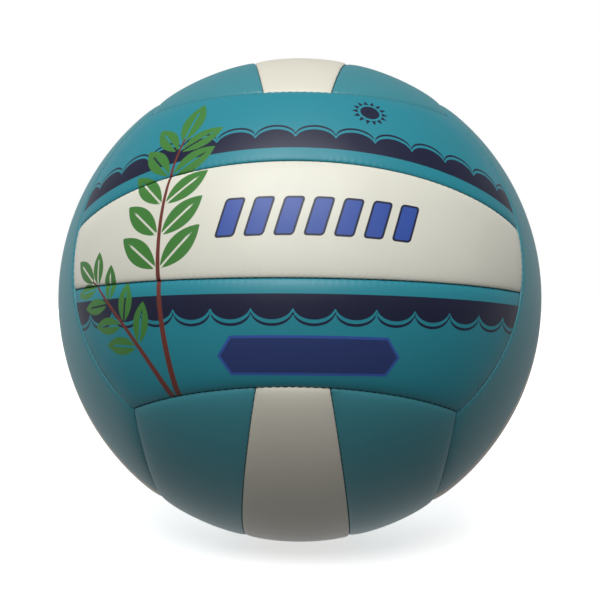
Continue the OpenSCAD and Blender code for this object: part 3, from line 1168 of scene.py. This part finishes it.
class Effects:
    """The effects that several finishes share, each a group of shader nodes."""

    # Sockets that hold a colour and not a number
    COLOURS = ("Colour", "Under", "Ink")
    # Height at which a pebble's crown levels off and how softly, and the noise's cells for one pebble
    PEBBLE, FINER = (0.35, 0.2), 2.7
    # Noise levels between which a soft patch comes up
    PATCH = (0.3, 0.7)

    @classmethod
    def grain(cls, tree: Tree, given: Any) -> Values:
        """Fine pebbles with a finer noise between them, as on coated cloth. Cells is the count per metre.

        Args:
            tree: The group's tree.
            given: The sockets of its inputs.

        Returns:
            The results by name.
        """
        place = tree.place()
        cells = {"Vector": place, "Scale": given["Cells"]}
        edge = tree.add("TexVoronoi", cells, feature="DISTANCE_TO_EDGE").outputs["Distance"]
        crown = tree.math("SMOOTH_MIN", edge, *cls.PEBBLE)
        finer = tree.math("MULTIPLY", given["Cells"], cls.FINER)
        noise = tree.add("TexNoise", {"Vector": place, "Scale": finer, "Detail": 2.0})
        added = tree.math("MULTIPLY", noise.outputs["Fac"], given["Noise"])
        return {"Height": tree.math("ADD", crown, added)}

    @staticmethod
    def darkened(tree: Tree, given: Any, share: Any) -> bpy.types.NodeSocket:
        """The given colour, darkened by the share times Amount."""
        level = tree.math("SUBTRACT", 1.0, tree.math("MULTIPLY", share, given["Amount"]))
        return tree.add("HueSaturation", {"Color": given["Colour"], "Value": level}).outputs[0]

    @classmethod
    def mottle(cls, tree: Tree, given: Any) -> Values:
        """A colour darkened by Amount, and a roughness raised by Spread, in soft patches.

        Args:
            tree: The group's tree.
            given: The sockets of its inputs.

        Returns:
            The results by name.
        """
        noise = tree.add("TexNoise", {"Vector": tree.place(), "Scale": given["Cells"], "Detail": 4.0})
        patch = tree.ramp(noise.outputs["Fac"], *cls.PATCH)
        rough = tree.math("ADD", given["Roughness"], tree.math("MULTIPLY", patch, given["Spread"]))
        return {"Colour": cls.darkened(tree, given, patch), "Roughness": rough}

    @classmethod
    def seam_shade(cls, tree: Tree, given: Any) -> Values:
        """Painted shade in the groove: darkening towards a seam, 1 at Distance 0, falling to 0 at Reach,
        times Amount.
        """
        near = tree.ramp(given["Distance"], 0.0, given["Reach"], 1.0, 0.0, interpolation_type="SMOOTHSTEP")
        return {"Colour": cls.darkened(tree, given, near)}

    @staticmethod
    def print_layer(tree: Tree, given: Any) -> Values:
        """One ink over what lies under it: the ink shows where Distance is below 0, with a soft edge.

        Args:
            tree: The group's tree.
            given: The sockets of its inputs.

        Returns:
            The results by name.
        """
        low = tree.math("MULTIPLY", given["Edge"], -1.0)
        mask = tree.ramp(given["Distance"], low, given["Edge"], 1.0, 0.0, interpolation_type="SMOOTHSTEP")
        mix = tree.add("Mix", {0: mask, 6: given["Under"], 7: given["Ink"]}, data_type="RGBA")
        return {"Colour": mix.outputs[2]}

    def make(self, name: str, effect: Callable[[Tree, Any], Values], *inputs: str) -> None:
        """Makes a group from the function that fills it.

        Args:
            name: Name of the group.
            effect: Places the nodes between the given sockets and the results, which it returns by name.
            inputs: Names of the given sockets.
        """
        group = bpy.data.node_groups.new(name, "ShaderNodeTree")
        tree = Tree(group)
        self.add_sockets(group, "INPUT", inputs)
        results = effect(tree, tree.add("NodeGroupInput").outputs)
        self.add_sockets(group, "OUTPUT", results)
        tree.add("NodeGroupOutput", results)

    def add_sockets(self, group: bpy.types.NodeTree, way: str, titles: Any) -> None:
        """Gives a group its sockets of one way.

        Args:
            group: The group.
            way: INPUT or OUTPUT.
            titles: The sockets' names.
        """
        for title in titles:
            kind = "NodeSocketColor" if title in self.COLOURS else "NodeSocketFloat"
            group.interface.new_socket(title, in_out=way, socket_type=kind)

    def build(self) -> None:
        """Makes all the groups."""
        self.make("fine_grain", self.grain, "Cells", "Noise")
        self.make("mottle", self.mottle, "Colour", "Amount", "Cells", "Roughness", "Spread")
        self.make("seam_shade", self.seam_shade, "Colour", "Distance", "Reach", "Amount")
        self.make("print_layer", self.print_layer, "Under", "Ink", "Distance", "Edge")


@dataclass(frozen=True)
class Finish:
    """A finish of one material.

    Attributes:
        name: Name of the material, and of the record's slot unless slot says otherwise.
        colour: Colour in sRGB levels.
        roughness: Least roughness, and what soft patches add to it.
        specular: Specular level of the shader.
        mottle: Share by which soft patches darken the colour, and their count per metre.
        grain: Count of grains per metre, share of the finer noise, and height in millimetres.
        crown: Further drop towards a seam, in millimetres, on a padded piece.
        seam: Reach in millimetres and strength of the painted shade towards a seam, on a padded piece.
        printed: Whether the front print lies on it.
        sheen: Sheen weight of the shader.
        slot: The record's slot, where it has another name.
    """

    name: str
    colour: tuple[int, int, int]
    roughness: tuple[float, float] = (0.45, 0.1)
    specular: float = 0.35
    mottle: tuple[float, float] = (0.04, 60.0)
    grain: tuple[float, float, float] = (1400.0, 0.5, 0.02)
    crown: float = 0.0
    seam: tuple[float, float] | None = None
    printed: bool = False
    sheen: float = 0.0
    slot: str = ""

    # Half of the width over which an ink's edge fades, in millimetres
    INK_EDGE = 0.14

    @property
    def slot_name(self) -> str:
        """The record's slot for this finish: slot, or else the name."""
        return self.slot or self.name

    def build(self) -> None:
        """Builds the material from the shared effects."""
        material = bpy.data.materials.new(self.name)
        material.use_nodes = True
        tree = Tree(material.node_tree)
        amount, cells = self.mottle
        rough, spread = self.roughness
        values = {"Colour": linear(self.colour), "Amount": amount, "Cells": cells}
        patchy = tree.group("mottle", {**values, "Roughness": rough, "Spread": spread})
        colour = patchy["Colour"]
        if self.printed:
            for ink in Ink:
                layer = {"Under": colour, "Ink": linear(ink.value[1]), "Distance": tree.stored(ink.value[0])}
                colour = tree.group("print_layer", {**layer, "Edge": self.INK_EDGE})["Colour"]
        # Painted shade: the colour darkens towards the seams, where the grooves lie in shade.
        if self.seam:
            shade = {"Colour": colour, "Reach": self.seam[0], "Amount": self.seam[1]}
            colour = tree.group("seam_shade", {**shade, "Distance": tree.stored("seam_distance")})["Colour"]
        grain = tree.group("fine_grain", {"Cells": self.grain[0], "Noise": self.grain[1]})
        height = tree.math("MULTIPLY", grain["Height"], self.grain[2])
        if self.crown:
            drop = tree.math("MULTIPLY", tree.stored("crown_share"), self.crown)
            height = tree.math("SUBTRACT", height, drop)
        bump = tree.add("Bump", {"Height": height, "Strength": 1.0, "Distance": MM})
        look = {"Base Color": colour, "Roughness": patchy["Roughness"], "Normal": bump.outputs["Normal"]}
        look |= {"Specular IOR Level": self.specular, "Sheen Weight": self.sheen}
        shader = tree.add("BsdfPrincipled", look)
        tree.add("OutputMaterial", {"Surface": shader.outputs[0]})


TEAL = (43, 143, 160)
IVORY = (236, 235, 221)
# The seam pair sets the painted shade that darkens the skin towards its seams.
SKIN = {"roughness": (0.4, 0.08), "specular": 0.45, "crown": 0.7, "seam": (0.35, 0.12)}
FINISHES = (
    Finish("skin_teal", TEAL, **SKIN),
    Finish("skin_ivory", IVORY, **SKIN),
    Finish("printed_teal", TEAL, printed=True, slot="skin_teal", **SKIN),
    Finish("printed_ivory", IVORY, printed=True, slot="skin_ivory", **SKIN),
    Finish("thread", (36, 92, 106), (0.7, 0.1), 0.2, (0.3, 900.0), (5200.0, 1.0, 0.03), sheen=0.2),
    Finish("foam", (241, 239, 232), (0.85, 0.1), 0.2, (0.08, 300.0), (2600.0, 1.0, 0.12)),
    Finish("bladder_rubber", (40, 40, 43), (0.5, 0.15), 0.4, (0.2, 40.0), (900.0, 0.8, 0.03)),
    Finish("valve_rubber", (196, 196, 190), (0.55, 0.1), 0.35, (0.06, 200.0), (3000.0, 0.8, 0.012)),
    Finish("core_rubber", (44, 44, 46), (0.55, 0.12), 0.35, (0.15, 300.0), (3000.0, 0.8, 0.012)),
)

Ramp = tuple[float, float, float, float]


@dataclass(frozen=True)
class Studio:
    """The camera, the lamps, the floor and the pale surroundings.

    A ramp takes a value that runs between its first two numbers to its third and fourth.

    Attributes:
        radius: Radius of the ball in metres.
        camera: Place of the camera in metres.
        lens: Focal length in millimetres on a sensor 36 mm wide.
        roll: Turn of the camera about its own line of sight, in radians.
        key: Elevation and side angle of the key light in degrees, distance and width in metres, power.
        rims: Elevation and side angle, strength, and width of the weak lights from behind, in degrees.
        ambient: Ramp of the surroundings' light on matt surfaces, by its direction's Y.
        behind: Ramp of what glossy surfaces mirror of the surroundings, by its direction's Y.
        above: Ramp of the share that is left of it, by its direction's Z.
        floor_size: Half of the floor's side in metres.
        white: Floor's colour to the camera.
        glow: Ramp of the floor's own light to the camera, by the distance from the ball in metres.
        dull: Floor's colour to matt surfaces.
        shine: Ramp of what glossy surfaces mirror of the floor, by its Y in metres.
        sides: Ramps of the share that is left of it to the left and to the right, by its X.
    """

    radius: float
    camera: tuple[float, float, float] = (0.01023, -0.44402, 0.0064)
    lens: float = 58.74
    roll: float = math.radians(0.36)
    key: tuple[float, float, float, float, float] = (47, -5, 1.05, 0.85, 10.2)
    rims: tuple[Ramp, ...] = ((8, -135, 1.6, 50), (10, 150, 0.85, 50))
    ambient: Ramp = (-0.1, 0.7, 0.12, 0.4)
    behind: Ramp = (-0.2, 0.7, 0.2, 0.6)
    above: Ramp = (0.1, 0.7, 1.0, 0.25)
    floor_size: float = 4.0
    white: float = 0.95
    glow: Ramp = (0.22, 0.75, 0.66, 1.0)
    dull: float = 0.14
    shine: Ramp = (-0.14, -0.01, 0.12, 0.9)
    sides: tuple[Ramp, ...] = ((-0.02, -0.08, 1.0, 0.7), (0.02, 0.08, 1.0, 0.55))

    def add_camera(self) -> None:
        """Makes the scene's camera, which looks at the ball's centre."""
        data = bpy.data.cameras.new("camera")
        data.lens, data.sensor_width = self.lens, 36
        view = bpy.data.objects.new("camera", data)
        place = Vector(self.camera)
        view.location = place
        turn = (-place).to_track_quat("-Z", "Y") @ Quaternion((0, 0, 1), self.roll)
        view.rotation_euler = turn.to_euler()
        bpy.context.scene.collection.objects.link(view)
        bpy.context.scene.camera = view

    @staticmethod
    def hang_lamp(data: bpy.types.Light, elevation: float, side: float, distance: float) -> bpy.types.Object:
        """Places a lamp so that it faces the ball's centre.

        Args:
            data: The lamp's data.
            elevation: Its elevation in degrees.
            side: Its angle to the right of the front in degrees.
            distance: Its distance in metres.

        Returns:
            The lamp.
        """
        up, turn = math.radians(elevation), math.radians(side)
        source = Vector((math.cos(up) * math.sin(turn), -math.cos(up) * math.cos(turn), math.sin(up)))
        lamp = bpy.data.objects.new(data.name, data)
        lamp.location = source * distance
        lamp.rotation_euler = source.to_track_quat("Z", "Y").to_euler()
        bpy.context.scene.collection.objects.link(lamp)
        return lamp

    def add_lamps(self) -> None:
        """Adds a round soft box above the camera, and weak far lights from behind that leave no highlight."""
        elevation, side, distance, width, power = self.key
        box = bpy.data.lights.new("soft_box", "AREA")
        box.shape, box.size, box.energy = "DISK", width, power
        self.hang_lamp(box, elevation, side, distance).visible_camera = False
        for elevation, side, strength, width in self.rims:
            far = bpy.data.lights.new("rim_light", "SUN")
            far.energy, far.angle = strength, math.radians(width)
            self.hang_lamp(far, elevation, side, 1.0).visible_glossy = False

    def add_world(self) -> None:
        """Surroundings that are white to the camera, soft to matt surfaces, and brighter behind the ball."""
        world = bpy.data.worlds.new("surroundings")
        world.use_nodes = True
        bpy.context.scene.world = world
        tree = Tree(world.node_tree)
        path, way = tree.add("LightPath").outputs, tree.xyz("Generated")
        mirrored = tree.math("MULTIPLY", tree.ramp(way["Y"], *self.behind), tree.ramp(way["Z"], *self.above))
        sharp = tree.math("MAXIMUM", path["Is Glossy Ray"], path["Is Transmission Ray"])
        soft = tree.ramp(way["Y"], *self.ambient)
        level = tree.add("Mix", {0: sharp, 2: soft, 3: mirrored}, data_type="FLOAT").outputs[0]
        seen = tree.add("Mix", {0: path["Is Camera Ray"], 2: level, 3: 1.0}, data_type="FLOAT").outputs[0]
        light = tree.add("Background", {"Color": grey(1), "Strength": seen})
        tree.add("OutputWorld", {"Surface": light.outputs[0]})

    def add_floor(self) -> None:
        """A pale floor under the ball: white with its shadow to the camera, and duller to other rays."""
        size, level = self.floor_size, -self.radius
        ways = ((-1, -1), (1, -1), (1, 1), (-1, 1))
        places = np.array([[x * size, y * size, level] for x, y in ways])
        floor = make_mesh("floor", places, np.array([[0, 1, 2, 3]]))
        material = bpy.data.materials.new("floor")
        material.use_nodes = True
        tree = Tree(material.node_tree)
        path, place = tree.add("LightPath").outputs, tree.xyz("Object")
        reach = tree.add("VectorMath", {0: tree.place()}, operation="LENGTH").outputs["Value"]
        pale = tree.add("BsdfDiffuse", {"Color": grey(self.white)})
        glow = tree.add("Emission", {"Color": grey(1), "Strength": tree.ramp(reach, *self.glow)})
        lit = tree.add("AddShader", {0: pale.outputs[0], 1: glow.outputs[0]})
        dull = tree.add("BsdfDiffuse", {"Color": grey(self.dull)})
        bright = tree.ramp(place["Y"], *self.shine)
        for side in self.sides:
            bright = tree.math("MULTIPLY", bright, tree.ramp(place["X"], *side))
        shine = tree.add("Emission", {"Color": grey(1), "Strength": bright})
        other = tree.add("MixShader", {0: path["Is Glossy Ray"], 1: dull.outputs[0], 2: shine.outputs[0]})
        mix = tree.add("MixShader", {0: path["Is Camera Ray"], 1: other.outputs[0], 2: lit.outputs[0]})
        tree.add("OutputMaterial", {"Surface": mix.outputs[0]})
        floor.data.materials.append(material)
        floor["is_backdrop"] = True

    def build(self) -> None:
        """Sets up everything round the ball."""
        bpy.context.scene.view_settings.view_transform = "Standard"
        self.add_camera()
        self.add_lamps()
        self.add_world()
        self.add_floor()


@dataclass
class Volleyball:
    """The whole ball: its panels, threads and valve, and the finishes of all its pieces.

    Attributes:
        plan: The ball's sizes and seams.
        body: Name of the body that every piece rides on.
        valve_face: The face in whose centre the valve sits.
        valve_hole: Radius of the opening for the valve, in metres.
        print_cell: Wanted distance between the points of a printed panel, in metres.
    """

    plan: BallPlan
    frame: dict[str, Any]
    body: str
    valve_face: Face = Face.BACK
    valve_hole: float = 4.35 * MM
    print_cell: float = 0.48 * MM

    def adopt(self, piece: bpy.types.Object, node: str, finish: Finish) -> None:
        """Puts a piece on the ball's body in place of a CAD node, with its finish.

        Args:
            piece: The piece.
            node: Name of the node.
            finish: The finish.
        """
        piece.data.materials.append(bpy.data.materials[finish.name])
        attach(piece, self.body)
        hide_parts(node)
        finish.slot_name
        LOG.info("%s: %d faces", piece.name, len(piece.data.polygons))

    def add_panels(self, finishes: dict[str, Finish]) -> None:
        """Makes the 18 panels, with the print on the front face and the opening on the valve's.

        Args:
            finishes: The finishes by name.
        """
        relief, front_print = SeamRelief(), FrontPrint(self.plan)
        for face in Face:
            for strip in Strip:
                printed = face is Face.FRONT
                colour = "ivory" if strip is Strip.MIDDLE else "teal"
                hole = self.valve_hole if face is self.valve_face and strip is Strip.MIDDLE else 0.0
                panel = Panel(self.plan, relief, face, strip, hole=hole)
                if printed:
                    panel = replace(panel, cell=self.print_cell)
                piece, points = panel.build()
                if printed:
                    for ink, shape in front_print.inks(panel, points).items():
                        add_values(piece, ink.value[0], shape)
                self.adopt(piece, panel.node, finishes[f"{'printed' if printed else 'skin'}_{colour}"])

    def add_threads(self, finishes: dict[str, Finish]) -> None:
        """Makes the thread of each face seam and of each face's strip seams.

        Args:
            finishes: The finishes by name.
        """
        for face in Face:
            first, last = face.value[3]
            rows = ((first, (1,), False), (last, (-1,), False), ("strips", (1, -1), True))
            for title, ways, between in rows:
                thread = Stitching(self.plan, face, title, ways, between)
                self.adopt(thread.build(), thread.node, finishes["thread"])

    def add_valve(self, finishes: dict[str, Finish]) -> None:
        """Makes the valve's body and core."""
        for node, piece in Valve(self.plan, self.valve_face).build().items():
            self.adopt(piece, node, finishes["valve_rubber" if node == "valve_body" else "core_rubber"])

    def finish_hidden(self) -> None:
        """Gives the foam, the bladder and its patch, which stay as the CAD has them, their finishes."""
        for name, node in self.frame["nodes"].items():
            kind = "foam" if name.startswith("foam_") else "bladder_rubber"
            if kind == "foam" or name in ("bladder", "valve_patch"):
                node.data.materials.clear()
                node.data.materials.append(bpy.data.materials[kind])

    def build(self) -> None:
        """Makes every piece."""
        Effects().build()
        finishes = {finish.name: finish for finish in FINISHES}
        for finish in FINISHES:
            finish.build()
        self.add_panels(finishes)
        self.add_threads(finishes)
        self.add_valve(finishes)
        self.finish_hidden()


def corners(bounds: Any) -> list[list[float]]:
    """Turns the corners of a box into plain lists."""
    return [[float(value) for value in corner] for corner in bounds]


def main() -> None:
    """Builds the ball's pieces in order and sets up the studio."""
    logging.basicConfig(level=logging.INFO, format="%(name)s: %(message)s")
    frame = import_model()
    cad_box = corners(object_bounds())
    bore = next(m for m in frame["record"]["mounts"] if m["name"] == "needle_bore")
    radius = (cad_box[1][0] - cad_box[0][0]) / 2
    lean = math.atan2(-bore["axis"][2], bore["axis"][1])
    plan = BallPlan(radius, lean)
    Studio(radius).build()
    Volleyball(plan, frame, next(iter(frame["bodies"]))).build()


if __name__ == "__main__":
    main()
